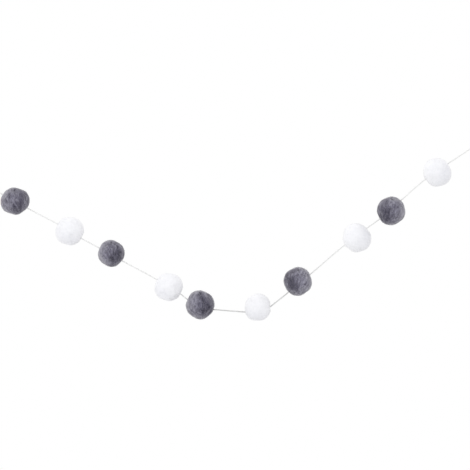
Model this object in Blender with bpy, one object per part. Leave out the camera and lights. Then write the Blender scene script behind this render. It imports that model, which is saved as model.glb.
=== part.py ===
"""Felt ball garland: ten hand-rolled felt balls on one thin string.

The string runs through the middle of every ball and ends in a knotted loop on each side.
The garland is modelled as it hangs, in the XZ plane, with +Z up and the viewer at -Y.
The origin is the middle of the left loop's bend, where the nail or hook sits.
Sizes in the tables are in millimetres, and the scene is in metres.
"""

import math
from collections import namedtuple

import bmesh
import bpy
import numpy as np
from mathutils import Vector

MM = 0.001

# The string
STRING_ACROSS = 1.0
NEEDLE_HOLE_ACROSS = 1.7
STRING_POINTS = 80
TUBE_ROUNDNESS = 2

# The balls. x, z: where the ball hangs. across: its mean diameter. pressed: the places round its
# outline, in degrees from +X towards +Z, where rolling left it flatter. flat_at: how near its middle
# those flats lie, as a share of its radius. long_way and longer: the way it's drawn out, in degrees,
# and by what share
Ball = namedtuple("Ball", "name wool x z across pressed flat_at long_way longer")
BALLS = (
    Ball("ball_01", "grey", 43.1, -23.2, 24.9, (68, 250, 308), 0.935, 12, 0.06),
    Ball("ball_02", "white", 92.2, -50.1, 25.2, (84, 165, 252, 336), 0.955, 35, 0.02),
    Ball("ball_03", "grey", 129.7, -70.2, 23.6, (62, 160, 238, 314), 0.955, 100, 0.01),
    Ball("ball_04", "white", 181.3, -100.4, 25.1, (84, 168, 250, 338), 0.950, 30, 0.02),
    Ball("ball_05", "grey", 209.7, -116.5, 25.4, (66, 155, 238, 311), 0.955, 100, 0.01),
    Ball("ball_06", "white", 261.4, -118.8, 24.0, (6, 120, 172, 268), 0.945, 72, 0.04),
    Ball("ball_07", "grey", 297.6, -95.4, 25.2, (16, 114, 204, 306), 0.955, 80, 0.01),
    Ball("ball_08", "white", 350.7, -56.3, 25.4, (38, 172, 236, 288), 0.950, 125, 0.04),
    Ball("ball_09", "grey", 381.6, -31.9, 25.2, (14, 112, 205, 303), 0.955, 80, 0.01),
    Ball("ball_10", "white", 423.0, 2.7, 25.2, (30, 176, 222, 285), 0.945, 122, 0.04),
)
# The flats spread over the rest of a ball, which are deeper and shallower in turn
SCATTERED_FLATS = 18
SCATTERED_FLAT_AT = 0.968
SCATTERED_FLAT_VARIES = 0.012
FLAT_EDGE_SHARPNESS = 42
ROUND_AGAIN = 1.022
BALL_CUTS = 8

# The string's way, as (x, z): from the left knot, in and out of each ball, to the right knot
STRING_WAY = (
    (15.3, -8.2),
    (32.5, -17.4), (54.1, -29.5),
    (82.2, -44.3), (103.4, -57.1),
    (119.1, -65.4), (139.6, -76.9),
    (170.9, -93.9), (192.5, -107.1),
    (198.3, -111.6), (208.5, -117.2), (217.5, -120.5), (221.7, -120.8),
    (250.2, -123.0), (254.5, -123.3), (263.2, -123.6), (271.0, -119.7), (274.1, -117.2),
    (289.2, -105.1), (292.2, -102.6), (308.1, -89.6),
    (340.5, -62.0), (360.3, -47.1),
    (371.1, -39.3), (390.0, -22.8),
    (412.5, -3.4), (433.7, 11.2),
    (468.5, 34.0),
)

# The knotted loop at each end: the middle of its bend, then the sizes of both
LEFT_NAIL = (0.0, 0.0)
RIGHT_NAIL = (483.0, 43.5)
LOOP_REACH = 14.6
LOOP_BEND = 3.0
LEGS_APART = 1.6
KNOT_LONG = 4.8
KNOT_ACROSS = 4.2
KNOT_WRAPS = 3
WRAP_HEIGHT = 0.09
# The free tail leaves the knot beside the string and hangs: along the string, then down
TAIL_WAY = ((1.0, 0.7), (2.3, 2.1), (2.9, 5.4), (2.7, 10.4))

Finish = namedtuple("Finish", "colour roughness")
FINISHES = {
    "grey": Finish((0.155, 0.150, 0.185), 0.95),
    "white": Finish((0.86, 0.87, 0.90), 0.95),
    "string": Finish((0.74, 0.74, 0.72), 0.85),
}


def clear_scene():
    """Removes whatever the file opens with."""
    for thing in list(bpy.data.objects):
        bpy.data.objects.remove(thing)


def new_collection(name):
    collection = bpy.data.collections.new(name)
    bpy.context.scene.collection.children.link(collection)
    return collection


def finish_of(kind):
    """The material of a wool or of the string, made once."""
    found = bpy.data.materials.get(kind)
    if found:
        return found
    material = bpy.data.materials.new(kind)
    material.use_nodes = True
    shader = material.node_tree.nodes["Principled BSDF"]
    shader.inputs["Base Color"].default_value = (*FINISHES[kind].colour, 1.0)
    shader.inputs["Roughness"].default_value = FINISHES[kind].roughness
    shader.inputs["Metallic"].default_value = 0.0
    return material


def in_space(points):
    """(x, z) places in millimetres as points of the hanging plane in metres."""
    flat = np.asarray(points, float)
    return np.stack([flat[:, 0], np.zeros(len(flat)), flat[:, 1]], axis=1) * MM


def smooth_line(way, count):
    """`count` evenly spaced points on the smooth curve through the way's points.

    Each span is a cubic whose slope at a point is the one of the parabola through it and its
    two neighbours, taken over the distance along the way.
    """
    way = np.asarray(way, float)
    span = np.linalg.norm(np.diff(way, axis=0), axis=1)
    along = np.concatenate([[0.0], np.cumsum(span)])
    slope = np.diff(way, axis=0) / span[:, None]
    before, after = span[:-1, None], span[1:, None]
    inner = (slope[:-1] * after + slope[1:] * before) / (before + after)
    slope_at = np.concatenate([[2 * slope[0] - inner[0]], inner, [2 * slope[-1] - inner[-1]]])

    def at(places):
        k = np.clip(np.searchsorted(along, places, side="right") - 1, 0, len(span) - 1)
        s = ((places - along[k]) / span[k])[:, None]
        wide = span[k][:, None]
        return (
            (2 * s**3 - 3 * s**2 + 1) * way[k]
            + (s**3 - 2 * s**2 + s) * wide * slope_at[k]
            + (3 * s**2 - 2 * s**3) * way[k + 1]
            + (s**3 - s**2) * wide * slope_at[k + 1]
        )

    fine = at(np.linspace(0.0, along[-1], 20 * count))
    length = np.concatenate([[0.0], np.cumsum(np.linalg.norm(np.diff(fine, axis=0), axis=1))])
    even = np.linspace(0.0, length[-1], count)
    return np.stack([np.interp(even, length, fine[:, k]) for k in range(way.shape[1])], axis=1)


def tube(name, points, across, collection):
    """A round tube along the points, as a curve with filled ends."""
    curve = bpy.data.curves.new(name, "CURVE")
    curve.dimensions = "3D"
    curve.bevel_depth = across * MM / 2
    curve.bevel_resolution = TUBE_ROUNDNESS
    curve.use_fill_caps = True
    spline = curve.splines.new("POLY")
    spline.points.add(len(points) - 1)
    for point, place in zip(spline.points, points):
        point.co = (*place, 1.0)
    thing = bpy.data.objects.new(name, curve)
    collection.objects.link(thing)
    return thing


def as_mesh(thing, collection):
    """The curve's tube as a mesh object whose caps are joined to its sides."""
    bpy.context.view_layer.update()
    graph = bpy.context.evaluated_depsgraph_get()
    data = bpy.data.meshes.new_from_object(thing.evaluated_get(graph))
    shell = bmesh.new()
    shell.from_mesh(data)
    bmesh.ops.remove_doubles(shell, verts=shell.verts, dist=1e-6)
    shell.to_mesh(data)
    shell.free()
    name, place = thing.name, thing.matrix_world.copy()
    bpy.data.objects.remove(thing)
    solid = bpy.data.objects.new(name, data)
    solid.matrix_world = place
    collection.objects.link(solid)
    return solid


def as_helper(thing):
    """A cutter or an operand: it stays in the file as a wire and isn't part of the garland."""
    thing.hide_render = True
    thing.display_type = "WIRE"
    return thing


def boolean(thing, other, operation):
    modifier = thing.modifiers.new(other.name, "BOOLEAN")
    modifier.operation = operation
    modifier.solver = "EXACT"
    modifier.object = other


def flats_of(ball, number):
    """The directions of a ball's flats and how near its middle each lies.

    The first ones lie round the outline that the viewer sees. The others are spread over the
    whole ball on a golden spiral, turned further for each ball, so no two balls are alike.
    """
    round_it = np.radians(ball.pressed)
    outline = np.stack([np.cos(round_it), 0 * round_it, np.sin(round_it)], axis=1)
    step = np.arange(SCATTERED_FLATS) + 0.5
    forward = 1 - 2 * step / SCATTERED_FLATS
    turn = step * math.pi * (3 - math.sqrt(5)) + 1.7 * number
    level = np.sqrt(1 - forward**2)
    spread = np.stack([level * np.cos(turn), forward, level * np.sin(turn)], axis=1)
    spread_at = SCATTERED_FLAT_AT + SCATTERED_FLAT_VARIES * np.sin(2.1 * step + number)
    # The outline has its own, so the spread ones stay off it
    off_outline = np.abs(forward) > 0.3
    flat_at = np.concatenate([np.full(len(outline), ball.flat_at), spread_at[off_outline]])
    return np.concatenate([outline, spread[off_outline]]), flat_at


def ball_reach(ways, ball, number):
    """How far the ball's surface is from its middle along each unit way, in millimetres.

    A sphere of radius R is divided by (1 + the sum of (way . flat / flat_at)^p)^(1/p), which cuts
    it level at each flat with a soft edge, and is drawn out a little along one direction.
    """
    flats, flat_at = flats_of(ball, number)
    facing = np.clip(ways @ flats.T, 0.0, None) / flat_at
    cut = (1.0 + (facing**FLAT_EDGE_SHARPNESS).sum(axis=1)) ** (1.0 / FLAT_EDGE_SHARPNESS)
    turn = math.radians(ball.long_way)
    along = ways @ np.array([math.cos(turn), 0.0, math.sin(turn)])
    oval = 1.0 + ball.longer * (along**2 - 0.5)
    return ball.across / 2 * ROUND_AGAIN * oval / cut


def felt_ball(ball, number, collection):
    """A cube's faces cut into a fine net, each of its points moved out to the ball's surface."""
    shell = bmesh.new()
    bmesh.ops.create_cube(shell, size=2.0)
    bmesh.ops.subdivide_edges(shell, edges=shell.edges[:], cuts=BALL_CUTS, use_grid_fill=True)
    points = np.array([tuple(vert.co) for vert in shell.verts])
    # The tangent spreads the net evenly over the sphere
    ways = np.tan(points * math.pi / 4)
    ways /= np.linalg.norm(ways, axis=1)[:, None]
    places = ways * ball_reach(ways, ball, number)[:, None] * MM
    for vert, place in zip(shell.verts, places):
        vert.co = place
    data = bpy.data.meshes.new(ball.name)
    shell.to_mesh(data)
    shell.free()
    data.shade_smooth()
    data.materials.append(finish_of(ball.wool))
    thing = bpy.data.objects.new(ball.name, data)
    thing.location = (ball.x * MM, 0.0, ball.z * MM)
    collection.objects.link(thing)
    return thing


def knot(name, middle, pull, collection):
    """A rounded knot whose wraps stand out as ridges round the string's direction."""
    shell = bmesh.new()
    bmesh.ops.create_uvsphere(shell, u_segments=16, v_segments=18, radius=1.0)
    for vert in shell.verts:
        turn = math.atan2(vert.co.y, vert.co.x)
        ridge = math.cos(2 * math.pi * KNOT_WRAPS * (vert.co.z + 1) / 2 + turn)
        wide = KNOT_ACROSS / 2 * (1 + WRAP_HEIGHT * ridge * (1 - vert.co.z**2))
        vert.co = Vector((vert.co.x * wide, vert.co.y * wide, vert.co.z * KNOT_LONG / 2)) * MM
    data = bpy.data.meshes.new(name)
    shell.to_mesh(data)
    shell.free()
    data.shade_smooth()
    data.materials.append(finish_of("string"))
    thing = bpy.data.objects.new(name, data)
    thing.location = middle
    thing.rotation_euler = Vector(pull).to_track_quat("Z", "Y").to_euler()
    collection.objects.link(thing)
    return thing


def hanging_loop(name, nail, string_end, collection, helpers):
    """The loop that goes over the nail, its knot and the string's free tail, as one solid.

    The string leaves the knot, runs straight to the nail, round it and straight back.
    """
    middle = np.array([nail[0], 0.0, nail[1]])
    pull = np.array([string_end[0], 0.0, string_end[1]]) - middle
    pull /= np.linalg.norm(pull)
    side = np.array([-pull[2], 0.0, pull[0]])
    knot_middle = middle + pull * LOOP_REACH
    # The legs run in towards the knot, so the bend is a little more than half a circle
    half_bend = math.pi / 2 + math.asin(LOOP_BEND / LOOP_REACH)
    round_nail = np.linspace(-half_bend, half_bend, 13)
    bend = (
        middle
        - np.outer(np.cos(round_nail), pull) * LOOP_BEND
        + np.outer(np.sin(round_nail), side) * LOOP_BEND
    )
    straight = np.linspace(0.0, 1.0, 7)[:-1, None]
    leaves = knot_middle - side * LEGS_APART / 2
    returns = knot_middle + side * LEGS_APART / 2
    leg_out = leaves + (bend[0] - leaves) * straight
    leg_back = returns + (bend[-1] - returns) * straight[::-1]
    strand = np.concatenate([leg_out, bend, leg_back]) * MM
    loop = tube(name + "_strand", strand, STRING_ACROSS, helpers)
    tail_way = [knot_middle[[0, 2]] + pull[[0, 2]] * along - [0.0, down] for along, down in TAIL_WAY]
    tail = tube(name + "_tail", in_space(smooth_line(tail_way, 9)), STRING_ACROSS, helpers)
    tied = knot(name, knot_middle * MM, pull, collection)
    for part in (loop, tail):
        boolean(tied, as_helper(as_mesh(part, helpers)), "UNION")
    return tied


def main():
    clear_scene()
    garland = new_collection("felt_ball_garland")
    helpers = new_collection("cutters")

    line = in_space(smooth_line(STRING_WAY, STRING_POINTS))
    string = tube("string", line, STRING_ACROSS, garland)
    string.data.materials.append(finish_of("string"))
    needle = as_helper(as_mesh(tube("needle_way", line, NEEDLE_HOLE_ACROSS, helpers), helpers))
    for number, ball in enumerate(BALLS, 1):
        boolean(felt_ball(ball, number, garland), needle, "DIFFERENCE")
    hanging_loop("left_loop", LEFT_NAIL, STRING_WAY[0], garland, helpers)
    hanging_loop("right_loop", RIGHT_NAIL, STRING_WAY[-1], garland, helpers)


main()
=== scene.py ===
# %% [markdown]
# # A felt ball garland
#
# Ten wet-felted wool balls, grey and white in turn, hang on one thin cotton thread that ends in a
# knotted loop on each side. This lesson dresses the plain solids of that garland: the thread gets its
# plies, each ball gets its matted wool surface and a haze of loose fibres, and soft studio light is
# put round them.
#
# The solids come in first, as a fixed frame. Nothing here moves them: each new piece is built where
# its solid is, then stands for it.

import math
from collections import namedtuple

import bpy
import numpy as np
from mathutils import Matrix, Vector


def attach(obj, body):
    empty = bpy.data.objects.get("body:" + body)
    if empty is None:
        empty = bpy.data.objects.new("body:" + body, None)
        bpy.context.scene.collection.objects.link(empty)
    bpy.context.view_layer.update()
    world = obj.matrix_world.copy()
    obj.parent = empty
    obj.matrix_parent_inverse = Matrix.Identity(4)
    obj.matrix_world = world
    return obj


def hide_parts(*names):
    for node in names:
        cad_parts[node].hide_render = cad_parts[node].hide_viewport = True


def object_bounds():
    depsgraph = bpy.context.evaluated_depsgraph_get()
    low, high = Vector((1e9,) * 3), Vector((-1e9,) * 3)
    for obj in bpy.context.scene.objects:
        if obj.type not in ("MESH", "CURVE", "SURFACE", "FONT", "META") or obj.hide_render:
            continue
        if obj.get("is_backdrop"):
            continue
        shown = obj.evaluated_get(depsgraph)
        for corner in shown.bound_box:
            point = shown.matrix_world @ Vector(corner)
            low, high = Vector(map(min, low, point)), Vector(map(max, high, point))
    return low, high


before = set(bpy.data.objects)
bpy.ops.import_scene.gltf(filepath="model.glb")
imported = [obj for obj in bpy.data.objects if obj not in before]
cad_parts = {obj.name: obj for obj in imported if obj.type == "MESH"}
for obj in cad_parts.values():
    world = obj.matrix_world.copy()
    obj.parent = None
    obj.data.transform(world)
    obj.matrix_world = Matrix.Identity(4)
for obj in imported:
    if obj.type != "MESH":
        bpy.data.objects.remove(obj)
cad_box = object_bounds()
MM = 0.001
print("solids:", ", ".join(sorted(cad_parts)))

# %% [markdown]
# ## The camera
#
# A garland on a wall is looked at straight on. A long lens from a few steps away keeps the balls at
# the edges as round as the ones in the middle, which a close camera wouldn't. The view is square and
# as wide as the stretch of garland that it shows.

# %% Place the camera in front of the garland
VIEW_ACROSS = 0.423
VIEW_MIDDLE = (0.24105, -0.05365)
CAMERA_AWAY = 2.4

camera_data = bpy.data.cameras.new("camera")
camera_data.lens = camera_data.sensor_width * CAMERA_AWAY / VIEW_ACROSS
camera_data.clip_start = 0.1
camera_data.clip_end = 50.0
camera = bpy.data.objects.new("camera", camera_data)
camera.location = (VIEW_MIDDLE[0], -CAMERA_AWAY, VIEW_MIDDLE[1])
camera.rotation_euler = (math.pi / 2, 0.0, 0.0)
bpy.context.scene.collection.objects.link(camera)
bpy.context.scene.camera = camera
print(f"lens {camera_data.lens:.0f} mm, {CAMERA_AWAY} m away")

# %% [markdown]
# ## The balls' places
#
# Everything else follows from where the ten balls hang and how wide each is. A garland strung by hand
# has no even spacing, and balls rolled by hand differ by a millimetre or two. The pressed flats and
# the long way are for the balls' own shapes, further down.

# %% The balls' table, in millimetres and degrees
class Ball(namedtuple("Ball", "number wool x z across pressed flat_at long_way longer")):
    """One ball: its wool, place and width, the angles and depth of its flats, and its long way."""

    @property
    def name(self):
        """The name of the ball's solid."""
        return f"ball_{self.number:02d}"

    @property
    def centre(self):
        """The ball's middle in space, in metres."""
        return np.array([self.x, 0.0, self.z]) * MM

    @property
    def radius(self):
        """Half the ball's width, in metres."""
        return self.across * MM / 2


BALLS = (
    Ball(1, "grey", 43.1, -23.2, 24.9, (68, 250, 308), 0.935, 12, 0.06),
    Ball(2, "white", 92.2, -50.1, 25.2, (84, 165, 252, 336), 0.955, 35, 0.02),
    Ball(3, "grey", 129.7, -70.2, 23.6, (62, 160, 238, 314), 0.955, 100, 0.01),
    Ball(4, "white", 181.3, -100.4, 25.1, (84, 168, 250, 338), 0.950, 30, 0.02),
    Ball(5, "grey", 209.7, -116.5, 25.4, (66, 155, 238, 311), 0.955, 100, 0.01),
    Ball(6, "white", 261.4, -118.8, 24.0, (6, 120, 172, 268), 0.945, 72, 0.04),
    Ball(7, "grey", 297.6, -95.4, 25.2, (16, 114, 204, 306), 0.955, 80, 0.01),
    Ball(8, "white", 350.7, -56.3, 25.4, (38, 172, 236, 288), 0.950, 125, 0.04),
    Ball(9, "grey", 381.6, -31.9, 25.2, (14, 112, 205, 303), 0.955, 80, 0.01),
    Ball(10, "white", 423.0, 2.7, 25.2, (30, 176, 222, 285), 0.945, 122, 0.04),
)
print("mean ball:", round(float(np.mean([ball.across for ball in BALLS])), 1), "mm across")

# %% [markdown]
# ## The thread's way
#
# On the real garland the thread is pulled taut between two nails, and the weight of the balls bends
# it where it passes through them. It is straight between two balls, so its way needs only the places
# where it enters and leaves each one. A smooth curve through those places turns inside the balls,
# where nobody sees it, the way a needle's path does.

# %% The thread's way, from the left knot, in and out of each ball, to the right knot
STRING_WAY = (
    (0.0153, -0.0082),
    (0.0325, -0.0174), (0.0541, -0.0295),
    (0.0822, -0.0443), (0.1034, -0.0571),
    (0.1191, -0.0654), (0.1396, -0.0769),
    (0.1709, -0.0939), (0.1925, -0.1071),
    (0.1983, -0.1116), (0.2085, -0.1172), (0.2175, -0.1205), (0.2217, -0.1208),
    (0.2502, -0.1230), (0.2545, -0.1233), (0.2632, -0.1236), (0.2710, -0.1197), (0.2741, -0.1172),
    (0.2892, -0.1051), (0.2922, -0.1026), (0.3081, -0.0896),
    (0.3405, -0.0620), (0.3603, -0.0471),
    (0.3711, -0.0393), (0.3900, -0.0228),
    (0.4125, -0.0034), (0.4337, 0.0112),
    (0.4685, 0.0340),
)
STRING_STEP = 0.3 * MM
LEFT_NAIL = (0.0, 0.0)
RIGHT_NAIL = (0.4830, 0.0435)
READINGS_PER_PLACE = 40
READINGS_PER_STEP = 4


def in_space(places):
    """(x, z) places as points of the plane that the garland hangs in."""
    flat = np.asarray(places, float)
    return np.stack([flat[:, 0], np.zeros(len(flat)), flat[:, 1]], axis=1)


def distance_along(line):
    """How far along a line each of its points is, from 0 at the first."""
    return np.concatenate([[0.0], np.cumsum(np.linalg.norm(np.diff(line, axis=0), axis=1))])


def length_of(line):
    """The distance along a line from its first point to its last."""
    return float(distance_along(line)[-1])


def smooth_line(way, step):
    """Points about `step` apart on the smooth curve through the way's points.

    Each span is a cubic whose slope at a point is the one of the parabola through it and its two
    neighbours, taken over the distance along the way. The curve is read at many places, and the
    points at even steps are found between those.
    """
    along = distance_along(way)
    span = np.diff(along)
    slope = np.diff(way, axis=0) / span[:, None]
    before, after = span[:-1, None], span[1:, None]
    inner = (slope[:-1] * after + slope[1:] * before) / (before + after)
    slope_at = np.concatenate([[2 * slope[0] - inner[0]], inner, [2 * slope[-1] - inner[-1]]])
    readings = READINGS_PER_PLACE * len(way) + int(READINGS_PER_STEP * along[-1] / step)
    places = np.linspace(0.0, along[-1], readings)
    k = np.clip(np.searchsorted(along, places, side="right") - 1, 0, len(span) - 1)
    s = ((places - along[k]) / span[k])[:, None]
    wide = span[k][:, None]
    fine = (
        (2 * s**3 - 3 * s**2 + 1) * way[k]
        + (s**3 - 2 * s**2 + s) * wide * slope_at[k]
        + (3 * s**2 - 2 * s**3) * way[k + 1]
        + (s**3 - s**2) * wide * slope_at[k + 1]
    )
    length = distance_along(fine)
    even = np.linspace(0.0, length[-1], round(length[-1] / step))
    return np.stack([np.interp(even, length, fine[:, axis]) for axis in range(3)], axis=1)


string_line = smooth_line(in_space(STRING_WAY), STRING_STEP)
print(f"the thread between the knots is {length_of(string_line) * 1000:.0f} mm long")

# %% [markdown]
# ## Twisted thread
#
# Cotton thread is three plies twisted round each other. It could be three separate tubes wound on a
# helix, but where they touch they would cut into each other. One tube is simpler: its cross-section
# is the outline of three round plies pressed together, and it turns as it goes along. The columns of
# the grid turn with it, so each follows a ply and few rings are needed.

# %% Helpers that carry a profile along a line and make it a mesh
THREAD_ACROSS = 1.0 * MM
THREAD_SIDES = 18
PLIES = 3
PLY_TURN = 3.2 * MM
PLY_SHARE = 0.56
PLY_BULGE = 1.16


def unit(vectors):
    """Each row divided by its length."""
    return vectors / np.linalg.norm(vectors, axis=-1, keepdims=True)


def carried_frames(line):
    """The direction of a line at each point, and two directions across it that don't spin round it.

    First any two across directions are taken. Each one is then moved to the next point by the
    smallest turn that takes one direction of the line to the next, which shows by what angle the
    pair there is off. The running sum of those angles turns every pair back.
    """
    ahead = unit(np.gradient(line, axis=0))
    least = np.eye(3)[np.argmin(np.abs(ahead), axis=1)]
    one = unit(np.cross(ahead, least))
    two = np.cross(ahead, one)
    middle = ahead[:-1] + ahead[1:]
    push = (one[:-1] * ahead[1:]).sum(1) / (1 + (ahead[:-1] * ahead[1:]).sum(1))
    moved = one[:-1] - middle * push[:, None]
    off = np.arctan2((moved * two[1:]).sum(1), (moved * one[1:]).sum(1))
    turn = np.concatenate([[0.0], np.cumsum(off)])[:, None]
    return ahead, np.cos(turn) * one + np.sin(turn) * two, np.cos(turn) * two - np.sin(turn) * one


def plied_outline():
    """The outline of plies pressed together: even angles, and the distance from the middle at each.

    Along an angle a from the nearest ply's middle, the edge of a circle of radius p whose centre is
    at distance q lies at q cos a + sqrt(p^2 - q^2 sin^2 a). The plies' crests, p + q from the middle,
    stand out past a round thread of the same mean thickness.
    """
    crest = THREAD_ACROSS / 2 * PLY_BULGE
    ply = crest * PLY_SHARE
    centre = crest - ply
    angle = np.arange(THREAD_SIDES) * 2 * math.pi / THREAD_SIDES
    from_ply = (angle + math.pi / PLIES) % (2 * math.pi / PLIES) - math.pi / PLIES
    return angle, centre * np.cos(from_ply) + np.sqrt(ply**2 - (centre * np.sin(from_ply)) ** 2)


def tube_faces(rings, around):
    """Quads between neighbouring rings of a tube whose points are numbered ring by ring."""
    ring, place = np.meshgrid(np.arange(rings - 1), np.arange(around), indexing="ij")
    following = (place + 1) % around
    corners = (
        ring * around + place,
        ring * around + following,
        (ring + 1) * around + following,
        (ring + 1) * around + place,
    )
    return np.stack(corners, axis=-1).reshape(-1, 4)


def end_faces(rings, around):
    """Triangles from a tube's first and last rings to a point at each end.

    The two points are numbered after all the rings.
    """
    last = rings * around
    place = np.arange(around)
    following = (place + 1) % around
    start = np.stack([np.full(around, last), following, place], axis=1)
    end = np.stack([np.full(around, last + 1), last - around + place, last - around + following], axis=1)
    return np.concatenate([start, end])


def new_piece(name, points, quads, triangles=()):
    """A mesh object at the origin with these points and faces, shaded smooth."""
    mesh = bpy.data.meshes.new(name)
    mesh.from_pydata(points.tolist(), [], quads.tolist() + np.asarray(triangles, int).tolist())
    mesh.shade_smooth()
    piece = bpy.data.objects.new(name, mesh)
    bpy.context.scene.collection.objects.link(piece)
    return piece


def thread(name, line):
    """Twisted thread along a line: the plied outline, turned once every PLY_TURN, with closed ends."""
    _, one, two = carried_frames(line)
    angle, reach = plied_outline()
    turned = angle[None, :] + (2 * math.pi * distance_along(line) / PLY_TURN)[:, None]
    rings = line[:, None] + reach[None, :, None] * (
        np.cos(turned)[..., None] * one[:, None] + np.sin(turned)[..., None] * two[:, None]
    )
    points = np.concatenate([rings.reshape(-1, 3), line[:1], line[-1:]])
    return new_piece(name, points, tube_faces(len(line), THREAD_SIDES), end_faces(len(line), THREAD_SIDES))


string = thread("string_thread", string_line)
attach(string, "root")
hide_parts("string")
print(f"the thread has {len(string.data.polygons)} faces")

# %% [markdown]
# ## The knotted loops
#
# At each end the thread runs to the nail, round it and back to itself. The returning part lies beside
# the standing thread for a few millimetres, then it is wound four times round both, tucked back
# through the turns and cut a centimetre long. It is one thread all the way, so it is one line:
# the straight legs, the bend round the nail, a helix for the turns, and a tail that hangs.

# %% Work out the line of a loop, its knot and its tail
LOOP_REACH = 14.6 * MM
LOOP_BEND = 3.0 * MM
BEND_POINTS = 9
KNOT_LONG = 4.8 * MM
KNOT_TURNS = 4
POINTS_PER_TURN = 10
TURNS_START, TURNS_FILL = 0.08, 0.84
TURN_RADIUS = 1.6 * MM
BUNDLE_RADIUS = 0.62 * MM
# Each strand's angle in the bundle, in thirds of a turn, and how many millimetres inside the knot's
# two faces it starts and ends.
STRANDS = {"standing": (1.5, 0.3, 0.4), "returning": (0.0, 0.4, 0.2), "tucked": (0.8, 0.3, 0.4)}
# The tail's points, as millimetres along the thread from the knot's middle, and straight down.
TAIL_WAY = ((2.3, 2.1), (2.9, 5.4), (2.7, 10.4))
LOOP_STEP = 0.25 * MM


def strand(kind, start, end):
    """Three points of a strand that runs straight through the knot from one face to the other."""
    third, after_start, before_end = STRANDS[kind]
    turn = 2 * math.pi * third / 3
    inward = math.copysign(MM, end - start)
    place = np.array([start + after_start * inward, LOOP_REACH, end - before_end * inward])
    level = np.ones(3)
    return np.stack(
        [place, BUNDLE_RADIUS * np.cos(turn) * level, BUNDLE_RADIUS * np.sin(turn) * level], axis=1
    )


def loop_line(nail, string_end):
    """The line of the thread from the middle of the knot round the nail, through the knot, to its tail.

    It is worked out along the pull, across it in the hanging plane, and towards the wall. In the
    knot three strands lie round its middle, and the helix goes round them.
    """
    middle = in_space([nail])[0]
    pull = unit(in_space([string_end])[0] - middle)
    to_wall = np.array([0.0, 1.0, 0.0])
    side = np.cross(pull, to_wall)
    side = side if side[2] < 0 else -side
    start, end = LOOP_REACH - KNOT_LONG / 2, LOOP_REACH + KNOT_LONG / 2
    half_bend = math.pi / 2 + math.asin(LOOP_BEND / LOOP_REACH)
    round_nail = np.linspace(-half_bend, half_bend, BEND_POINTS)
    bend = LOOP_BEND * np.stack([-np.cos(round_nail), np.sin(round_nail), 0 * round_nail], axis=1)
    wound = np.linspace(0.0, 1.0, POINTS_PER_TURN * KNOT_TURNS + 1)
    turn = 2 * math.pi * KNOT_TURNS * wound
    along = end + (start - end) * (TURNS_START + TURNS_FILL * wound)
    helix = np.stack([along, TURN_RADIUS * np.cos(turn), TURN_RADIUS * np.sin(turn)], axis=1)
    local = np.concatenate([
        strand("standing", end, start),
        bend,
        strand("returning", start, end),
        helix,
        strand("tucked", start, end),
    ])
    line = middle + local @ np.stack([pull, side, to_wall])
    knot_middle = middle + pull * LOOP_REACH
    tail = [knot_middle + pull * ahead * MM - np.array([0.0, 0.0, down * MM]) for ahead, down in TAIL_WAY]
    return smooth_line(np.concatenate([line, tail]), LOOP_STEP)


# %% Make both loops
loops = []
loop_lines = []
for name, nail, string_end in (
    ("left_loop", LEFT_NAIL, STRING_WAY[0]),
    ("right_loop", RIGHT_NAIL, STRING_WAY[-1]),
):
    line = loop_line(nail, string_end)
    loop = thread(name + "_thread", line)
    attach(loop, "root")
    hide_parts(name)
    loops.append(loop)
    loop_lines.append(line)
    print(f"{name}: {length_of(line) * 1000:.0f} mm of thread, {len(loop.data.polygons)} faces")

# %% [markdown]
# ## Fuzz on the thread
#
# Cotton is spun from short fibres, and their ends stand out all along a thread. Without them it looks
# like wire. Each fibre is a thin three-sided tube drawn to a point at both ends, and one array holds
# them all. Hair curves would be easier, but they have no faces to export. The same helper makes the
# loose fibres of the balls later.

# %% A haze of fibres round their middle lines
FIBRE_PLACES = np.array([0.0, 0.04, 0.2, 0.4, 0.6, 0.8, 0.96, 1.0])
FIBRE_ACROSS = 0.04 * MM
FIBRE_SIDES = 3
FIBRE_TAPER = 0.35
FREE_END_RISE = 1.5


def round_each(rings, ends):
    """The values of all fibres in the order of their points: three to a ring, then both end points."""
    return np.concatenate([rings.reshape(len(rings), -1, *rings.shape[3:]), ends], axis=1)


def fibre_haze(name, lines, outward):
    """A three-sided tube along each line, drawn to the line's own end points.

    Its thickness along the line is a sine to a low power, which is nearly level in the middle.
    """
    rings = len(FIBRE_PLACES) - 2
    ahead = unit(np.gradient(lines, axis=1))[:, 1:-1, None]
    across = unit(np.cross(outward[:, 1:-1, None], ahead))
    up = np.cross(ahead, across)
    thick = FIBRE_ACROSS / 2 * np.sin(math.pi * FIBRE_PLACES[1:-1]) ** FIBRE_TAPER
    angle = (np.arange(FIBRE_SIDES) * 2 * math.pi / FIBRE_SIDES)[:, None]
    sides = lines[:, 1:-1, None] + thick[:, None, None] * (np.cos(angle) * across + np.sin(angle) * up)
    first = (np.arange(len(lines)) * (FIBRE_SIDES * rings + 2))[:, None, None]
    return new_piece(
        name,
        round_each(sides, lines[:, [0, -1]]).reshape(-1, 3),
        (first + tube_faces(rings, FIBRE_SIDES)).reshape(-1, 4),
        (first + end_faces(rings, FIBRE_SIDES)).reshape(-1, 3),
    )


STRING_FUZZ = 1100
LOOP_FUZZ = 150
FUZZ_SEED = 700
FUZZ_LONG = (0.4, 1.5)
FUZZ_HIGH = (0.15, 0.8)
FUZZ_ASIDE = 0.4
FUZZ_ROOT = 0.4 * THREAD_ACROSS


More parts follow.
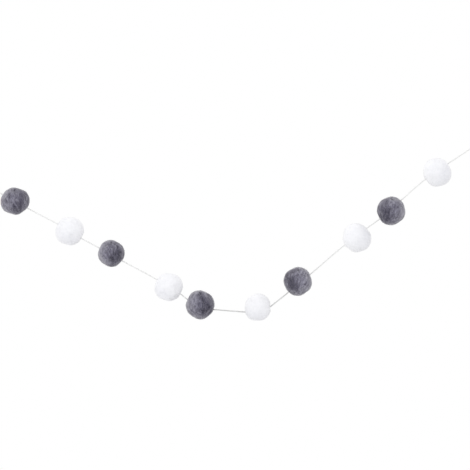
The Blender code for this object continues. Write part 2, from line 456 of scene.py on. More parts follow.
def fuzz_lines(line, count, seed):
    """The middle line of every loose fibre of a thread, and the way out of the thread along it.

    A fibre starts under the surface at a random spot outside the balls, runs along the thread one
    way or the other, and rises and turns aside as powers of the part of it that has gone by.
    """
    pick = np.random.default_rng(seed)
    from_balls = np.linalg.norm(line[:, None] - [ball.centre for ball in BALLS], axis=-1)
    bare = (from_balls > [ball.radius for ball in BALLS]).all(axis=1)
    start = pick.choice(np.flatnonzero(bare), count)
    ahead, one, two = (way[start][:, None] for way in carried_frames(line))
    each = (count, 1, 1)
    turn = pick.uniform(0.0, 2 * math.pi, each)
    out = np.cos(turn) * one + np.sin(turn) * two
    part = FIBRE_PLACES[None, :, None]
    along = pick.choice([-1.0, 1.0], each) * pick.uniform(*FUZZ_LONG, each) * MM * part
    rise = pick.uniform(*FUZZ_HIGH, each) * MM * part**FREE_END_RISE
    aside = pick.uniform(-FUZZ_ASIDE, FUZZ_ASIDE, each) * MM * part**2
    off_line = out * (FUZZ_ROOT + rise) + np.cross(ahead, out) * aside
    places = line[start][:, None] + ahead * along + off_line
    return places, np.broadcast_to(out, places.shape)


threads = (
    (string, string_line, STRING_FUZZ),
    (loops[0], loop_lines[0], LOOP_FUZZ),
    (loops[1], loop_lines[1], LOOP_FUZZ),
)
fuzz = []
for seed, (piece, line, count) in enumerate(threads, FUZZ_SEED):
    haze = fibre_haze(piece.name.replace("thread", "fuzz"), *fuzz_lines(line, count, seed))
    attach(haze, "root")
    fuzz.append(haze)

print("fuzz:", ", ".join(f"{haze.name} {len(haze.data.polygons)} faces" for haze in fuzz))

# %% [markdown]
# ## The balls
#
# A felt ball is a pinch of wool, wetted, soaped and rolled between the palms until its fibres lock.
# Rolling leaves it nearly round, with a few soft flats and a slight oval, and no two balls agree.
# The shape is worked out as a distance from the middle for every direction, because a ball has no
# overhangs. A sphere of latitude and longitude would crowd its points at the poles, so the points
# come from a cube's faces, blown up round, which are nearly even all over.

# %% The flats of each ball, and its distance for every direction
SCATTERED_FLATS = 18
SCATTERED_FLAT_AT = 0.968
SCATTERED_FLAT_VARIES = 0.012
SCATTERED_FLAT_WAVE = 2.1
SPIRAL_TURN = 1.7
OUTLINE_BAND = 0.3
FLAT_EDGE_SHARPNESS = 42
ROUND_AGAIN = 1.022


def flats_of(ball):
    """The directions of a ball's flats and how near its middle each lies, as a share of its radius.

    The first ones lie round the outline that the viewer sees. The others are spread over the rest of
    the ball on a golden spiral, turned further for each ball, and their depth varies as a sine.
    """
    round_it = np.radians(ball.pressed)
    outline = np.stack([np.cos(round_it), 0 * round_it, np.sin(round_it)], axis=1)
    step = np.arange(SCATTERED_FLATS) + 0.5
    forward = 1 - 2 * step / SCATTERED_FLATS
    turn = step * math.pi * (3 - math.sqrt(5)) + SPIRAL_TURN * ball.number
    level = np.sqrt(1 - forward**2)
    spread = np.stack([level * np.cos(turn), forward, level * np.sin(turn)], axis=1)
    wave = np.sin(SCATTERED_FLAT_WAVE * step + ball.number)
    spread_at = SCATTERED_FLAT_AT + SCATTERED_FLAT_VARIES * wave
    off_outline = np.abs(forward) > OUTLINE_BAND
    flat_at = np.concatenate([np.full(len(outline), ball.flat_at), spread_at[off_outline]])
    return np.concatenate([outline, spread[off_outline]]), flat_at


def ball_reach(ways, ball):
    """How far the ball's surface is from its middle along each unit way, in metres.

    A sphere of radius R is divided by (1 + the sum of (way . flat / flat_at)^p)^(1/p), which cuts it
    level at each flat with a soft edge, and is drawn out a little along one direction.
    """
    flats, flat_at = flats_of(ball)
    facing = np.clip(ways @ flats.T, 0.0, None) / flat_at
    cut = (1.0 + (facing**FLAT_EDGE_SHARPNESS).sum(axis=-1)) ** (1.0 / FLAT_EDGE_SHARPNESS)
    turn = math.radians(ball.long_way)
    along = ways @ np.array([math.cos(turn), 0.0, math.sin(turn)])
    oval = 1.0 + ball.longer * (along**2 - 0.5)
    return ball.radius * ROUND_AGAIN * oval / cut


print("flats:", ", ".join(f"{ball.name} {len(flats_of(ball)[0])}" for ball in BALLS))

# %% [markdown]
# ## Matted wool
#
# Close up, felt isn't smooth. The wool was laid in wisps, and the wisps swirl round the ball in ridges
# about a millimetre wide, with small pits between them. Soft noise makes both. Slow noise bends the
# places where the wisps' noise is read, which turns straight wisps into swirls. The noise is a
# lattice of seeded random numbers, blended smoothly between its corners.

# %% Soft noise, and the relief of matted wool
LATTICE = 32
NOISE_LAYERS = ("swirl_x", "swirl_y", "swirl_z", "broad", "crossing", "fine", "pits", "drift")
SEEDS_PER_BALL = 10
WISP_LEAN = (-20, 12, -14, 30, -8, 5, 18, -25, 14, 8)
WISP_WIDE = 1.15 * MM
WISP_SHORTENED = 0.34
SWEEP_FROM, SWEEP_POWER = 0.25, 0.75
SWIRL_WIDE = 5.5 * MM
SWIRL_PUSH = np.array([1.7, 1.7, 0.7])
CROSSING_WIDE = 1.9 * MM
CROSSING_PUSH = 1.2
CROSSING_SHIFT = 7.3
FINER = np.array([2.3, 2.3, 2.6])
BROAD_SHARE, CROSSING_SHARE, FINE_SHARE = 0.95, 0.35, 0.45
PIT_WIDE = 1.0 * MM
PIT_SHIFT = 3.1
PIT_FROM, PIT_SPREAD = 0.3, 0.35


def soft_noise(places, seed):
    """Smooth noise from -1 to 1 at points measured in cells.

    A seeded cube of random numbers repeats through space. Each point's eight surrounding corners are
    mixed by the smooth step 3t^2 - 2t^3 of its place in the cell along each axis.
    """
    corners = np.random.default_rng(seed).uniform(-1.0, 1.0, (LATTICE, LATTICE, LATTICE))
    cell = np.floor(places).astype(int)
    part = places - cell
    part = part * part * (3 - 2 * part)
    near, far = cell % LATTICE, (cell + 1) % LATTICE
    x, y, z = part[..., 0], part[..., 1], part[..., 2]

    def row(b, c):
        """The mix along the first axis between the corners at b and c on the other two."""
        left = corners[near[..., 0], b, c]
        return left + (corners[far[..., 0], b, c] - left) * x

    low = row(near[..., 1], near[..., 2])
    low = low + (row(far[..., 1], near[..., 2]) - low) * y
    high = row(near[..., 1], far[..., 2])
    high = high + (row(far[..., 1], far[..., 2]) - high) * y
    return low + (high - low) * z


def ball_noise(places, ball, layer):
    """Soft noise with a seed of its own for each ball and each layer of its wool."""
    return soft_noise(places, SEEDS_PER_BALL * ball.number + NOISE_LAYERS.index(layer) + 1)


def wisps(ways, ball):
    """Swirling wisps of wool, from -1 in the grooves to 1 on the crests, at points on a ball.

    The points are turned by the ball's lean and swept out from the axis that the wisps run round, so
    that they lie like the meridians of a globe. They are then pushed about by slow noise and read
    from noise whose cells are three times as long as they are wide, and noise that crosses them and
    finer noise are added.
    """
    lean = math.radians(WISP_LEAN[ball.number - 1])
    x = ways[..., 0] * math.cos(lean) - ways[..., 2] * math.sin(lean)
    z = ways[..., 0] * math.sin(lean) + ways[..., 2] * math.cos(lean)
    y = ways[..., 1]
    off_axis = np.maximum(np.hypot(x, y), SWEEP_FROM) ** SWEEP_POWER
    swept = np.stack([x / off_axis, y / off_axis, WISP_SHORTENED * z], axis=-1) * ball.radius
    slow = ways * ball.radius / SWIRL_WIDE
    push = np.stack([ball_noise(slow, ball, "swirl_" + axis) for axis in "xyz"], axis=-1)
    swirled = swept / WISP_WIDE + SWIRL_PUSH * push
    broad = ball_noise(swirled, ball, "broad")
    across = ways * ball.radius / CROSSING_WIDE + CROSSING_PUSH * push + CROSSING_SHIFT
    crossing = ball_noise(across, ball, "crossing")
    fine = ball_noise(swirled * FINER, ball, "fine")
    return np.clip(BROAD_SHARE * broad + CROSSING_SHARE * crossing + FINE_SHARE * fine, -1.0, 1.0)


def pits(places, ball):
    """1 in the small pits between wisps and 0 elsewhere."""
    spots = ball_noise(places / PIT_WIDE + PIT_SHIFT, ball, "pits")
    return np.clip((spots - PIT_FROM) / PIT_SPREAD, 0.0, 1.0)


trial = soft_noise(np.random.default_rng(0).uniform(0, LATTICE, (1000, 3)), 1)
print(f"soft noise at 1000 random places runs from {trial.min():.2f} to {trial.max():.2f}")

# %% [markdown]
# ## Where the thread goes in
#
# A needle pulls the thread through the middle of each ball, and the felt draws in round it, in a shallow
# dimple with small puckers that point at the hole. The places come from the thread's own line, so a dimple
# always sits where the thread meets the surface. The grey balls also have a small crease near the top,
# where the wool folded as it was rolled. The holes and the crease also get painted shade, kept with the
# pits for the material.

# %% Find where the thread enters and leaves each ball
DIMPLE_DEEP = 0.45 * MM
DIMPLE_WIDE = 1.9 * MM
PUCKERS = 7
PUCKER_DEEP = 0.13 * MM
PUCKER_AT, PUCKER_SPREAD = 1.3, 0.5
# How wide and how strong the painted shade round each needle hole is.
HOLE_SHADE_WIDE = 1.1 * MM
HOLE_SHADE = 1.6
RELIEF = {"grey": 1.0, "white": 0.55}
WISP_HIGH = 0.11 * MM
PIT_DEEP = 0.14 * MM
CREASE_DEEP = 0.45 * MM
CREASE_WAY = unit(np.array([0.02, -0.7, 1.0]))
CREASE_SIZE = np.array([1.0, 1.7, 1.6]) * MM
# How strong the painted shade in the crease is.
CREASE_SHADE = 2.1


def needle_places(ball):
    """The unit ways from the ball's middle to where the thread enters it and leaves it."""
    from_middle = string_line - ball.centre
    far = np.linalg.norm(from_middle, axis=1)
    inside = np.flatnonzero(far < ball_reach(from_middle / far[:, None], ball))
    return unit(from_middle[[inside[0], inside[-1]]])


def dimple(ways, off_needle, needle, number):
    """How deep the felt is drawn in round a needle hole: a bell, with puckers on its slope.

    The puckers are a cosine of the angle round the hole, which fades out away from the slope.
    """
    one = unit(np.cross(needle, [0.0, 1.0, 0.0]))
    two = np.cross(needle, one)
    aside = off_needle / DIMPLE_WIDE
    round_it = np.arctan2(ways @ two, ways @ one)
    puckers = 0.5 + 0.5 * np.cos(PUCKERS * round_it + number)
    on_slope = np.exp(-((aside - PUCKER_AT) ** 2) / PUCKER_SPREAD)
    return DIMPLE_DEEP * np.exp(-(aside**2)) + PUCKER_DEEP * puckers * on_slope


def felt_reach(ways, ball):
    """The ball's distance for each way with its wool relief and dimples, the wisps there, and the pits
    with painted shade added round the needle holes and in the crease.
    """
    reach = ball_reach(ways, ball)
    wisp = wisps(ways, ball)
    pit = pits(ways * reach[..., None] + ball.centre, ball)
    reach = reach + RELIEF[ball.wool] * (WISP_HIGH * wisp - PIT_DEEP * pit)
    for needle in needle_places(ball):
        off_needle = np.linalg.norm(ways - needle, axis=-1) * ball.radius
        reach = reach - dimple(ways, off_needle, needle, ball.number)
        # Painted shade round the needle hole, kept with the pits.
        pit = np.maximum(pit, HOLE_SHADE * np.exp(-((off_needle / HOLE_SHADE_WIDE) ** 2)))
    if ball.wool == "grey":
        aside = (ways - CREASE_WAY) * ball.radius / CREASE_SIZE
        crease = np.exp(-(aside**2).sum(axis=-1))
        reach = reach - CREASE_DEEP * crease
        # Painted shade in the crease, kept with the pits.
        pit = np.maximum(pit, CREASE_SHADE * crease)
    return reach, wisp, pit


for ball in BALLS:
    turn = [round(math.degrees(math.atan2(way[2], way[0]))) for way in needle_places(ball)]
    print(ball.name, "thread enters at", turn[0], "and leaves at", turn[1], "degrees")

# %% A cube's faces blown up round
GRID = 52


def round_cube(count):
    """Unit ways at the points of a cube's six gridded faces, and quads that join them.

    A face's points are whole numbers from 0 to count, so the same numbers on two faces are the same
    point, and the faces close along their edges. The tangent spreads them evenly over the sphere.
    """
    across, up = np.meshgrid(np.arange(count + 1), np.arange(count + 1), indexing="ij")
    faces = []
    for axis in range(3):
        for level, first, second in ((count, axis + 1, axis + 2), (0, axis + 2, axis + 1)):
            face = np.empty((count + 1, count + 1, 3), int)
            face[..., axis] = level
            face[..., first % 3] = across
            face[..., second % 3] = up
            faces.append(face)
    whole = np.stack(faces)
    points, number = np.unique(whole.reshape(-1, 3), axis=0, return_inverse=True)
    number = number.reshape(whole.shape[:3])
    low_side, high_side = number[:, :, :-1], number[:, :, 1:]
    corners = (low_side[:, :-1], low_side[:, 1:], high_side[:, 1:], high_side[:, :-1])
    return unit(np.tan((2 * points / count - 1) * math.pi / 4)), np.stack(corners, axis=-1).reshape(-1, 4)


ball_ways, ball_quads = round_cube(GRID)
print(f"each ball has {len(ball_ways)} points and {len(ball_quads)} quads")

# %% [markdown]
# ## The colour of the wool
#
# Grey felt is heathered: grey fleece isn't one colour, and its tone drifts at random over each ball. Light
# and shade are painted on top of that. Every grey ball here has one paler side, which is painted light,
# and a long dark patch across from it, low down, which is painted shade over darker wool. On the two
# right-hand balls they are the other way round. A white ball has only a touch of painted shade on one
# side. All of it is kept on the mesh as a number for each point, and the material reads it.

# %% Keep the wool's tone, with its painted light and shade, on each ball's mesh
# The side of each grey ball that is painted paler, as painted light, and how far it turns towards the
# viewer.
PAINTED_LIGHT_WAY = {1: 165, 3: 165, 5: 168, 7: -8, 9: 12}
PAINTED_LIGHT_FORWARD = 0.35
# Each grey ball's dark patch, painted shade over darker wool: its way, lean, size and soft edge.
SHADE_PATCH_WAY = {1: -36, 3: -32, 5: -38, 7: 212, 9: 213}
PATCH_FORWARD = 1.7
PATCH_LEAN = {1: 72, 3: 62, 5: 72, 7: 112, 9: 112}
PATCH_WIDE = 0.36
PATCH_LONG = 0.62
PATCH_REACH, PATCH_EDGE, PATCH_RAGGED = 1.45, 0.9, 0.35
# The side of each white ball that is a touch darker, as painted shade.
WHITE_PAINTED_SHADE_WAY = {2: 245, 4: 235, 6: 255, 8: -10, 10: -15}
DRIFT_WIDE = 5.0 * MM
DRIFT_SHIFT = 1.7
DRIFT_SHARE = {"grey": 0.2, "white": 0.15}
PAINTED_LIGHT_SHARE, SHADE_PATCH_SHARE = 0.4, 0.56
WHITE_PAINTED_SHADE_SHARE, WHITE_LIFT = 0.75, 0.05


def toward_viewer(angle, forward):
    """The unit way at an angle in the hanging plane, turned towards the viewer by a share."""
    turn = math.radians(angle)
    return unit(np.array([math.cos(turn), -forward, math.sin(turn)]))


def painted_shade_patch(ways, ball, drift):
    """1 in the ball's long dark patch, painted shade over darker wool, and 0 off it, with an edge that
    noise breaks up.

    The distance from the patch's middle is measured in its half length along it and its half width
    across it, so the same distance all round draws an oval.
    """
    lean = math.radians(PATCH_LEAN[ball.number])
    away = ways - toward_viewer(SHADE_PATCH_WAY[ball.number], PATCH_FORWARD)
    along = away @ np.array([math.cos(lean), 0.0, math.sin(lean)])
    across = (away**2).sum(axis=-1) - along**2
    far = np.sqrt(across / PATCH_WIDE**2 + along**2 / PATCH_LONG**2)
    return np.clip((PATCH_REACH + PATCH_RAGGED * drift - far) / PATCH_EDGE, 0.0, 1.0)


def wool_shade(ways, places, ball):
    """How dark the wool is, from -1, pale, to 1, dark, at each point of a ball.

    A grey ball falls from its side of painted light to the other, and has its dark patch of painted shade
    over darker wool. A white ball is a touch darker on one side, from painted shade, with less noise.
    """
    noise = ball_noise(places / DRIFT_WIDE + DRIFT_SHIFT, ball, "drift")
    drift = DRIFT_SHARE[ball.wool] * noise
    if ball.wool == "white":
        # A white ball: random tone and painted shade on one side.
        return drift + WHITE_PAINTED_SHADE_SHARE * ways @ toward_viewer(WHITE_PAINTED_SHADE_WAY[ball.number], 0.0) - WHITE_LIFT
    # Painted light on one side, random tone, and the patch of painted shade.
    painted_light = ways @ toward_viewer(PAINTED_LIGHT_WAY[ball.number], PAINTED_LIGHT_FORWARD)
    shade = -PAINTED_LIGHT_SHARE * painted_light + drift + SHADE_PATCH_SHARE * painted_shade_patch(ways, ball, noise)
    return np.clip(shade, -1.0, 1.0)


def keep_on_mesh(piece, name, values):
    """Stores one number for each point of a piece, under a name that a material can read."""
    attribute = piece.data.attributes.new(name, "FLOAT", "POINT")
    attribute.data.foreach_set("value", np.asarray(values, np.float32))


balls = []
for ball in BALLS:
    reach, wisp, pit = felt_reach(ball_ways, ball)
    places = ball_ways * reach[:, None] + ball.centre
    felt = new_piece(ball.name + "_felt", places, ball_quads)
    # The wool's tone with its painted light and shade, the wisps, and the pits with their painted shade.
    keep_on_mesh(felt, "shade", wool_shade(ball_ways, places, ball))
    keep_on_mesh(felt, "wisp", wisp)
    keep_on_mesh(felt, "pit", pit)
    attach(felt, "root")
    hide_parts(ball.name)
    balls.append(felt)
print(f"{len(balls)} balls of felt")

# %% [markdown]
# ## Loose fibres
#
# However long a ball is rolled, some wool stays loose. Most of those fibres are locked in at both ends
# and bow up a little between them, and a few stick out by one end. They soften the ball's outline.
# They are made as the thread's fuzz is, but lie on the felt's own surface.

# %% Lay loose fibres on the balls
FIBRES = 1400
FIBRE_SEED = 500
FIBRE_LONG = (1.6, 4.6)
FIBRE_ARC = 0.4
FIBRE_WAVE = 0.12
FIBRE_SUNK = 0.05 * MM
FREE_SHARE = 0.22
FREE_HIGH = (0.15, 0.65)
LOCKED_HIGH = (0.05, 0.3)


def fibre_lines(ball):
    """The middle line of every loose fibre of a ball, and the way out of the ball along it.

    A fibre starts at an even random spot and runs round the ball in a random direction, in an arc
    to one side with half a wave on it. Its height above the felt is an arch, or a rise towards one
    free end.
    """
    pick = np.random.default_rng(FIBRE_SEED + ball.number)
    spot = unit(pick.normal(size=(FIBRES, 3)))
    run = unit(np.cross(spot, pick.normal(size=(FIBRES, 3))))
    aside = np.cross(spot, run)
    part = FIBRE_PLACES[None, :, None]
    long = pick.uniform(*FIBRE_LONG, (FIBRES, 1, 1)) * MM / ball.radius
    arc = pick.uniform(-FIBRE_ARC, FIBRE_ARC, (FIBRES, 1, 1)) * np.sin(math.pi * part)
    wave = pick.uniform(-FIBRE_WAVE, FIBRE_WAVE, (FIBRES, 1, 1)) * np.sin(2 * math.pi * part)
    path = (part - 0.5) * run[:, None] + (arc + wave) * aside[:, None]
    ways = unit(spot[:, None] + long * path)
    free = pick.random((FIBRES, 1)) < FREE_SHARE
    free_high = pick.uniform(*FREE_HIGH, (FIBRES, 1))
    high = np.where(free, free_high, pick.uniform(*LOCKED_HIGH, (FIBRES, 1))) * MM
    rise = np.where(free, part[..., 0] ** FREE_END_RISE, np.sin(math.pi * part[..., 0]))
    reach, _, _ = felt_reach(ways, ball)
    return ways * (reach - FIBRE_SUNK + high * rise)[..., None] + ball.centre, ways


hazes = []
for ball in BALLS:
    lines, outward = fibre_lines(ball)
    haze = fibre_haze(ball.name + "_fibres", lines, outward)
    shade = wool_shade(outward, lines, ball)
    shade_on_sides = np.repeat(shade[:, 1:-1, None], FIBRE_SIDES, axis=2)
    # Each fibre keeps the tone of the wool under it, painted light and shade included.
    keep_on_mesh(haze, "shade", round_each(shade_on_sides, shade[:, [0, -1]]).ravel())
    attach(haze, "root")
    hazes.append(haze)
print(f"{FIBRES} fibres on each of {len(hazes)} balls")

# %% [markdown]
# ## Materials
#
# All the wool shares one effect: fine fibres lying across each other, finer than any mesh point. It
# is a shader node group with its own inputs, so the felt and the thread can each set how fine its
# strokes are. The group reads Object coordinates, which are metres from the origin here, so every
# ball shows its own stretch of the pattern.

# %% Helpers for node trees
def feed(tree, node, inputs):
    """Sets each named or numbered input of a node to its value, or links another node's output to it."""
    for key, given in inputs.items():
        if isinstance(given, bpy.types.NodeSocket):
            tree.links.new(given, node.inputs[key])
        else:
            node.inputs[key].default_value = given


def add_node(tree, kind, place, inputs=None, **settings):
    """A node of one kind at a place in the editor, with its settings and then its inputs."""
    node = tree.nodes.new(kind)
    node.location = place
    for key, value in settings.items():
        setattr(node, key, value)
    feed(tree, node, inputs or {})
    return node


def maths(tree, place, operation, *values, **settings):
    """The output of a Math node that works on these values."""
    inputs = dict(enumerate(values))
    return add_node(tree, "ShaderNodeMath", place, inputs, operation=operation, **settings).outputs[0]


def rescaled(tree, place, value, span=(0.0, 1.0), onto=(0.0, 1.0)):
    """The output of a Map Range node, which moves a value from one range onto another."""
    names = ("Value", "From Min", "From Max", "To Min", "To Max")
    inputs = dict(zip(names, (value, *span, *onto)))
    return add_node(tree, "ShaderNodeMapRange", place, inputs).outputs["Result"]


def mixed(tree, place, share, first, second, kind="MIX", clamp=True):
    """The colour output of a Mix node, number 2. Its factor, A and B are inputs 0, 6 and 7."""
    inputs = {0: share, 6: first, 7: second}
    node = add_node(
        tree, "ShaderNodeMix", place, inputs, data_type="RGBA", blend_type=kind, clamp_result=clamp
    )
    return node.outputs[2]


def kept(tree, place, name):
    """The output that gives the number kept on the mesh under a name."""
    return add_node(tree, "ShaderNodeAttribute", place, attribute_name=name).outputs["Fac"]


def bumped(tree, place, height, strength, distance):
    """The normal of a Bump node."""
    inputs = {"Height": height, "Strength": strength, "Distance": distance}
    return add_node(tree, "ShaderNodeBump", place, inputs).outputs["Normal"]


def new_material(name):
    """A material with nodes, its tree and its Principled shader."""
    material = bpy.data.materials.new(name)
    material.use_nodes = True
    return material, material.node_tree, material.node_tree.nodes["Principled BSDF"]


# %% The group of fine fibres
# Each layer's turn round x, y and z, and its scale along them: the smaller, the longer its cells.
STROKE_LAYERS = (
    ((0.3, 0.2, 0.1), (1.0, 0.6, 0.16)),
    ((1.1, 0.4, 0.9), (1.0, 0.5, 0.2)),
    ((2.0, 1.3, 0.2), (0.9, 0.7, 0.22)),
)
STROKE_RANGE = (0.46, 0.74)


def fine_fibres_group():
    """Fine strokes of fibre: noise read with long thin cells along three directions and bent.

    Its outputs are Strokes, from 0 in the gaps to 1 on the fibres, and Height for a bump.
    """
    group = bpy.data.node_groups.new("fine_fibres", "ShaderNodeTree")
    for name, usual in (("Strokes across a metre", 1700.0), ("Bend", 1.2)):
        socket = group.interface.new_socket(name, in_out="INPUT", socket_type="NodeSocketFloat")
        socket.default_value = usual
    for name in ("Strokes", "Height"):
        group.interface.new_socket(name, in_out="OUTPUT", socket_type="NodeSocketFloat")
    asked = add_node(group, "NodeGroupInput", (-1000, 0)).outputs
    where = add_node(group, "ShaderNodeTexCoord", (-1000, -200)).outputs["Object"]
    layers = []
    for k, (turn, scale) in enumerate(STROKE_LAYERS):
        laid = {"Vector": where, "Rotation": turn, "Scale": scale}
        mapping = add_node(group, "ShaderNodeMapping", (-750, -260 * k), laid)
        noise = {
            "Vector": mapping.outputs["Vector"],
            "Scale": asked["Strokes across a metre"],
            "Detail": 3.0,
            "Roughness": 0.6,
            "Distortion": asked["Bend"],
        }
        layers.append(add_node(group, "ShaderNodeTexNoise", (-500, -260 * k), noise).outputs["Fac"])
    upper = maths(group, (-250, 0), "MAXIMUM", layers[0], layers[1])
    whole = maths(group, (-50, 0), "MAXIMUM", upper, layers[2])
    strokes = rescaled(group, (200, 0), whole, STROKE_RANGE)
    add_node(group, "NodeGroupOutput", (700, 0), {"Strokes": strokes, "Height": whole})
    return group


fine_fibres = fine_fibres_group()
print("group:", fine_fibres.name, [item.name for item in fine_fibres.interface.items_tree])

# %% [markdown]
# ## Felt
#
# The felt's colour is built in layers. The tone kept on the mesh, with its painted light and shade, slides
# from pale to dark wool. The wisps' crests are painted paler and their grooves darker, as painted light
# and shade over the wool's mottle. The fine fibres break everything up. Seen aslant, felt looks paler,
# because more of the short fibres that stand up from it lie one behind another. That paleness is a painted
# sheen: the colour slides part of the way to a paler one there, less far where the wool is dark, and some
# sheen on the shader catches the light as well. The pits, needle holes and creases get painted shade, dark
# from every side.

# %% The felt materials
# Each felt's pale, middle and dark wool, the colour of its painted sheen, how far that sheen goes and how
# much less where the wool is dark, how strong the painted shade in the pits is, and the shares of fine
# strokes and wisps.
Felt = namedtuple("Felt", "pale middle dark edge edge_share edge_follows pit strokes wisps")
FELTS = {
    "grey": Felt(
        pale=(0.375, 0.367, 0.448, 1.0),
        middle=(0.150, 0.143, 0.192, 1.0),
        dark=(0.060, 0.056, 0.080, 1.0),
        edge=(0.53, 0.52, 0.55, 1.0),
        edge_share=1.08,
        edge_follows=1.15,
        pit=0.42,
        strokes=0.6,
        wisps=0.6,
    ),
    "white": Felt(
        pale=(0.89, 0.892, 0.925, 1.0),
        middle=(0.868, 0.872, 0.905, 1.0),
        dark=(0.765, 0.77, 0.83, 1.0),
        edge=(0.97, 0.97, 0.99, 1.0),
        edge_share=0.9,
        edge_follows=0.0,
        pit=0.06,
        strokes=0.03,
        wisps=0.1,
    ),
}
PAINTED_SHEEN_SPAN = (0.08, 1.0)
STROKE_TONES = (0.35, 1.45)
PIT_SHADE_TONE = 0.5
FELT_BUMP = {"strength": 0.6, "distance": 0.12 * MM}
FELT_SHADER = {
    "Roughness": 0.95,
    "Specular IOR Level": 0.15,
    "Sheen Weight": 0.6,
    "Sheen Roughness": 0.3,
    "Sheen Tint": (0.95, 0.94, 0.95, 1.0),
}


def wool_colours(tree, place, felt, darkness):
    """The colour of a ramp from pale through middle to dark wool."""
    node = add_node(tree, "ShaderNodeValToRGB", place, {"Fac": darkness})
    colours = node.color_ramp.elements
    colours[0].color = felt.pale
    colours[1].color = felt.dark
    colours.new(0.5).color = felt.middle
    return node.outputs["Color"]


def felt_material(wool):
    """Felted wool: three wool colours mixed by the mesh's tone, painted light and shade, and wisps, under
    fine fibres.
    """
    felt = FELTS[wool]
    material, tree, shader = new_material(wool + "_felt")
    shade = kept(tree, (-1300, 200), "shade")
    wisp = kept(tree, (-1300, 0), "wisp")
    pit = kept(tree, (-1300, -200), "pit")
    fibres = add_node(tree, "ShaderNodeGroup", (-1300, -400), node_tree=fine_fibres).outputs
    # The wisps' crests are painted paler and their grooves darker: painted light and shade over the wool's
    # mottle.
    darkness = maths(tree, (-1050, 150), "MULTIPLY_ADD", wisp, -felt.wisps, shade)
    darkness = rescaled(tree, (-850, 150), darkness, span=(-1.0, 1.0))
    wools = wool_colours(tree, (-650, 150), felt, darkness)
    tone = rescaled(tree, (-650, -250), fibres["Strokes"], onto=STROKE_TONES)
    grey = add_node(tree, "ShaderNodeCombineColor", (-480, -150), {0: tone, 1: tone, 2: tone})
    stroked = mixed(
        tree, (-350, 150), felt.strokes, wools, grey.outputs["Color"], kind="MULTIPLY", clamp=False
    )
    # Painted sheen: where the felt is seen aslant its colour slides towards the paler one, less far where
    # it is dark.
    aslant = add_node(tree, "ShaderNodeLayerWeight", (-350, 450)).outputs["Facing"]
    painted_sheen_here = maths(tree, (-350, 600), "MULTIPLY_ADD", darkness, -felt.edge_follows, felt.edge_share)
    edge = rescaled(tree, (-150, 450), aslant, PAINTED_SHEEN_SPAN, (0.0, painted_sheen_here))
    with_painted_sheen = mixed(tree, (80, 250), edge, stroked, felt.edge)
    # Painted shade in the pits, round the needle holes and in the crease.
    pit_shade_share = maths(tree, (80, -50), "MULTIPLY", pit, felt.pit, use_clamp=True)
    pit_shade_colour = (*(PIT_SHADE_TONE * np.array(felt.dark[:3])), 1.0)
    pit_shaded = mixed(tree, (280, 150), pit_shade_share, with_painted_sheen, pit_shade_colour)
    normal = bumped(tree, (-120, -250), fibres["Height"], **FELT_BUMP)
    feed(tree, shader, {"Base Color": pit_shaded, "Normal": normal, **FELT_SHADER})
    return material


felts = {wool: felt_material(wool) for wool in FELTS}
for ball, felt in zip(BALLS, balls):
    felt.data.materials.append(felts[ball.wool])
print("felt materials:", ", ".join(felts))

# %% [markdown]
# ## Loose fibres and thread
#
# A single fibre is paler than the felt it comes from, because light passes round it, and it keeps some of
# the tone of the wool under it, painted light and shade included. The thread is off-white cotton, mottled
# by its own fine fibres. It is a little darker along the stretch at the bottom of the V.

# %% Materials of the fibres and the thread
FIBRE_COLOURS = {
    "grey": ((0.62, 0.61, 0.65, 1.0), (0.13, 0.125, 0.16, 1.0)),
    "white": ((0.97, 0.97, 0.975, 1.0), (0.93, 0.935, 0.95, 1.0)),
}
CHANCE_SCALE = 800.0
CHANCE_SPAN = (0.3, 0.7)
CHANCE_TONES = (0.2, 0.8)
TONE_AND_SHADE_KEPT = 0.4
COTTON_COLOURS = ((0.83, 0.83, 0.83, 1.0), (0.95, 0.95, 0.953, 1.0))
COTTON_STROKES = 2600.0
COTTON_BUMP = {"strength": 0.5, "distance": 0.05 * MM}
# The thread's colour along the darker stretch at the bottom of the V, where that stretch centres and how
# far it spreads.
DARKER_STRETCH_COLOUR = (0.71, 0.71, 0.71, 1.0)
DARKER_STRETCH_AT = 0.250
DARKER_STRETCH_SPREAD = 0.041


def fibre_material(wool):
    """Single wool fibres: from pale to dark with the tone of the wool under them, painted light and shade
    included, and some by chance.
    """
    material, tree, shader = new_material(wool + "_fibres")
    where = add_node(tree, "ShaderNodeTexCoord", (-1000, -200)).outputs["Object"]
    grain = {"Vector": where, "Scale": CHANCE_SCALE, "Detail": 1.0}
    noise = add_node(tree, "ShaderNodeTexNoise", (-800, -200), grain)
    chance = rescaled(tree, (-600, -200), noise.outputs["Fac"], CHANCE_SPAN, CHANCE_TONES)
    shade = kept(tree, (-800, 100), "shade")
    darkness = maths(tree, (-400, 0), "MULTIPLY_ADD", shade, TONE_AND_SHADE_KEPT, chance, use_clamp=True)
    tones = mixed(tree, (-200, 0), darkness, *FIBRE_COLOURS[wool])
    feed(tree, shader, {"Base Color": tones, "Roughness": 0.8, "Specular IOR Level": 0.2})
    return material


def thread_material():
    """Cotton thread: off-white, mottled by fine fibres, darker along the stretch that the mesh marks."""
    material, tree, shader = new_material("string")
    handled = kept(tree, (-1000, 200), "handled")
    finer = {"Strokes across a metre": COTTON_STROKES}
    fibres = add_node(tree, "ShaderNodeGroup", (-1000, -100), finer, node_tree=fine_fibres).outputs
    clean = mixed(tree, (-600, 0), fibres["Strokes"], *COTTON_COLOURS)
    darkened = mixed(tree, (-300, 0), handled, clean, DARKER_STRETCH_COLOUR, kind="MULTIPLY")
    normal = bumped(tree, (-300, -300), fibres["Height"], **COTTON_BUMP)
    looks = {"Base Color": darkened, "Normal": normal, "Roughness": 0.85, "Specular IOR Level": 0.2}
    feed(tree, shader, looks)
    return material


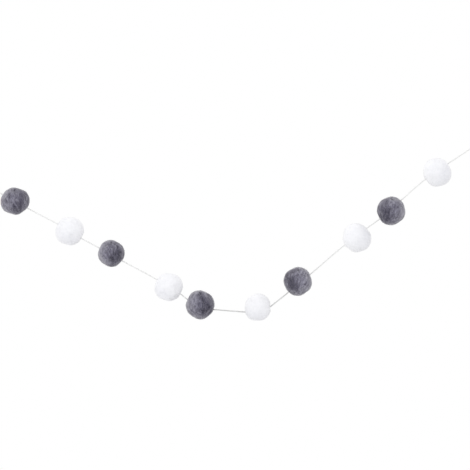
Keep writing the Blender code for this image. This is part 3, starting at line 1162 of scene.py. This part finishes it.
fibre_looks = {wool: fibre_material(wool) for wool in FIBRE_COLOURS}
for ball, haze in zip(BALLS, hazes):
    haze.data.materials.append(fibre_looks[ball.wool])
cotton = thread_material()
for piece in (string, *loops, *fuzz):
    places = np.empty(len(piece.data.vertices) * 3, np.float32)
    piece.data.vertices.foreach_get("co", places)
    keep_on_mesh(piece, "handled", np.exp(-(((places[0::3] - DARKER_STRETCH_AT) / DARKER_STRETCH_SPREAD) ** 2) / 2))
    piece.data.materials.append(cotton)
print("materials:", ", ".join(sorted(material.name for material in bpy.data.materials)))

# %% [markdown]
# ## Light and surroundings
#
# Wool needs soft light: a hard lamp would show every fibre as a spark. A white room gives nearly all
# of it, and is seen pure white behind the garland. White wool gives back less than it gets, so it
# still stands out from the room. A pale floor makes the undersides a little darker, and a large weak
# panel to the left of the viewer lifts the fronts.

# %% The floor, the room and the lights
FLOOR_LEVEL = -1.5
FLOOR_HALF = 10.0
FLOOR_LOOKS = {"Base Color": (0.80, 0.80, 0.80, 1.0), "Roughness": 0.9}
ROOM_LIGHT = {"Color": (1.0, 1.0, 1.0, 1.0), "Strength": 1.0}


def add_floor():
    """A plain pale square below the garland."""
    corners = np.array([[-1, -1, 0], [1, -1, 0], [1, 1, 0], [-1, 1, 0]]) * FLOOR_HALF
    corners = corners + np.array([VIEW_MIDDLE[0], 0.0, FLOOR_LEVEL])
    floor = new_piece("floor", corners, np.array([[0, 1, 2, 3]]))
    material, tree, shader = new_material("floor")
    feed(tree, shader, FLOOR_LOOKS)
    floor.data.materials.append(material)
    floor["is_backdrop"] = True


def light_the_room():
    """A white world, seen and lit alike."""
    world = bpy.data.worlds.new("room")
    world.use_nodes = True
    feed(world.node_tree, world.node_tree.nodes["Background"], ROOM_LIGHT)
    bpy.context.scene.world = world


def add_panel(name, place, size, power, colour):
    """A square soft light that faces the middle of the garland."""
    light = bpy.data.lights.new(name, "AREA")
    light.shape = "SQUARE"
    light.size = size
    light.energy = power
    light.color = colour
    panel = bpy.data.objects.new(name, light)
    panel.location = place
    aim = np.array([VIEW_MIDDLE[0], 0.0, VIEW_MIDDLE[1]]) - np.array(place)
    flat = math.hypot(aim[0], aim[1])
    panel.rotation_euler = (math.atan2(flat, -aim[2]), 0.0, math.atan2(aim[1], aim[0]) - math.pi / 2)
    bpy.context.scene.collection.objects.link(panel)
    return panel


add_floor()
light_the_room()
key = add_panel("key_panel", place=(-0.75, -2.0, 0.1), size=1.2, power=9.5, colour=(1.0, 0.995, 0.98))
bpy.context.scene.view_settings.view_transform = "Standard"
print("key light turned", [round(math.degrees(angle)) for angle in key.rotation_euler])

# %% [markdown]
# ## The size of the dressed garland
#
# The dressed garland has to stay as big as its solids, apart from loose fibres. Both boxes are printed so
# that they can be compared.

# %% Print both boxes
boxes = {"cad": cad_box, "visual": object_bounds()}
for name, box in boxes.items():
    print(name, [tuple(round(v * 1000, 1) for v in corner) for corner in box])
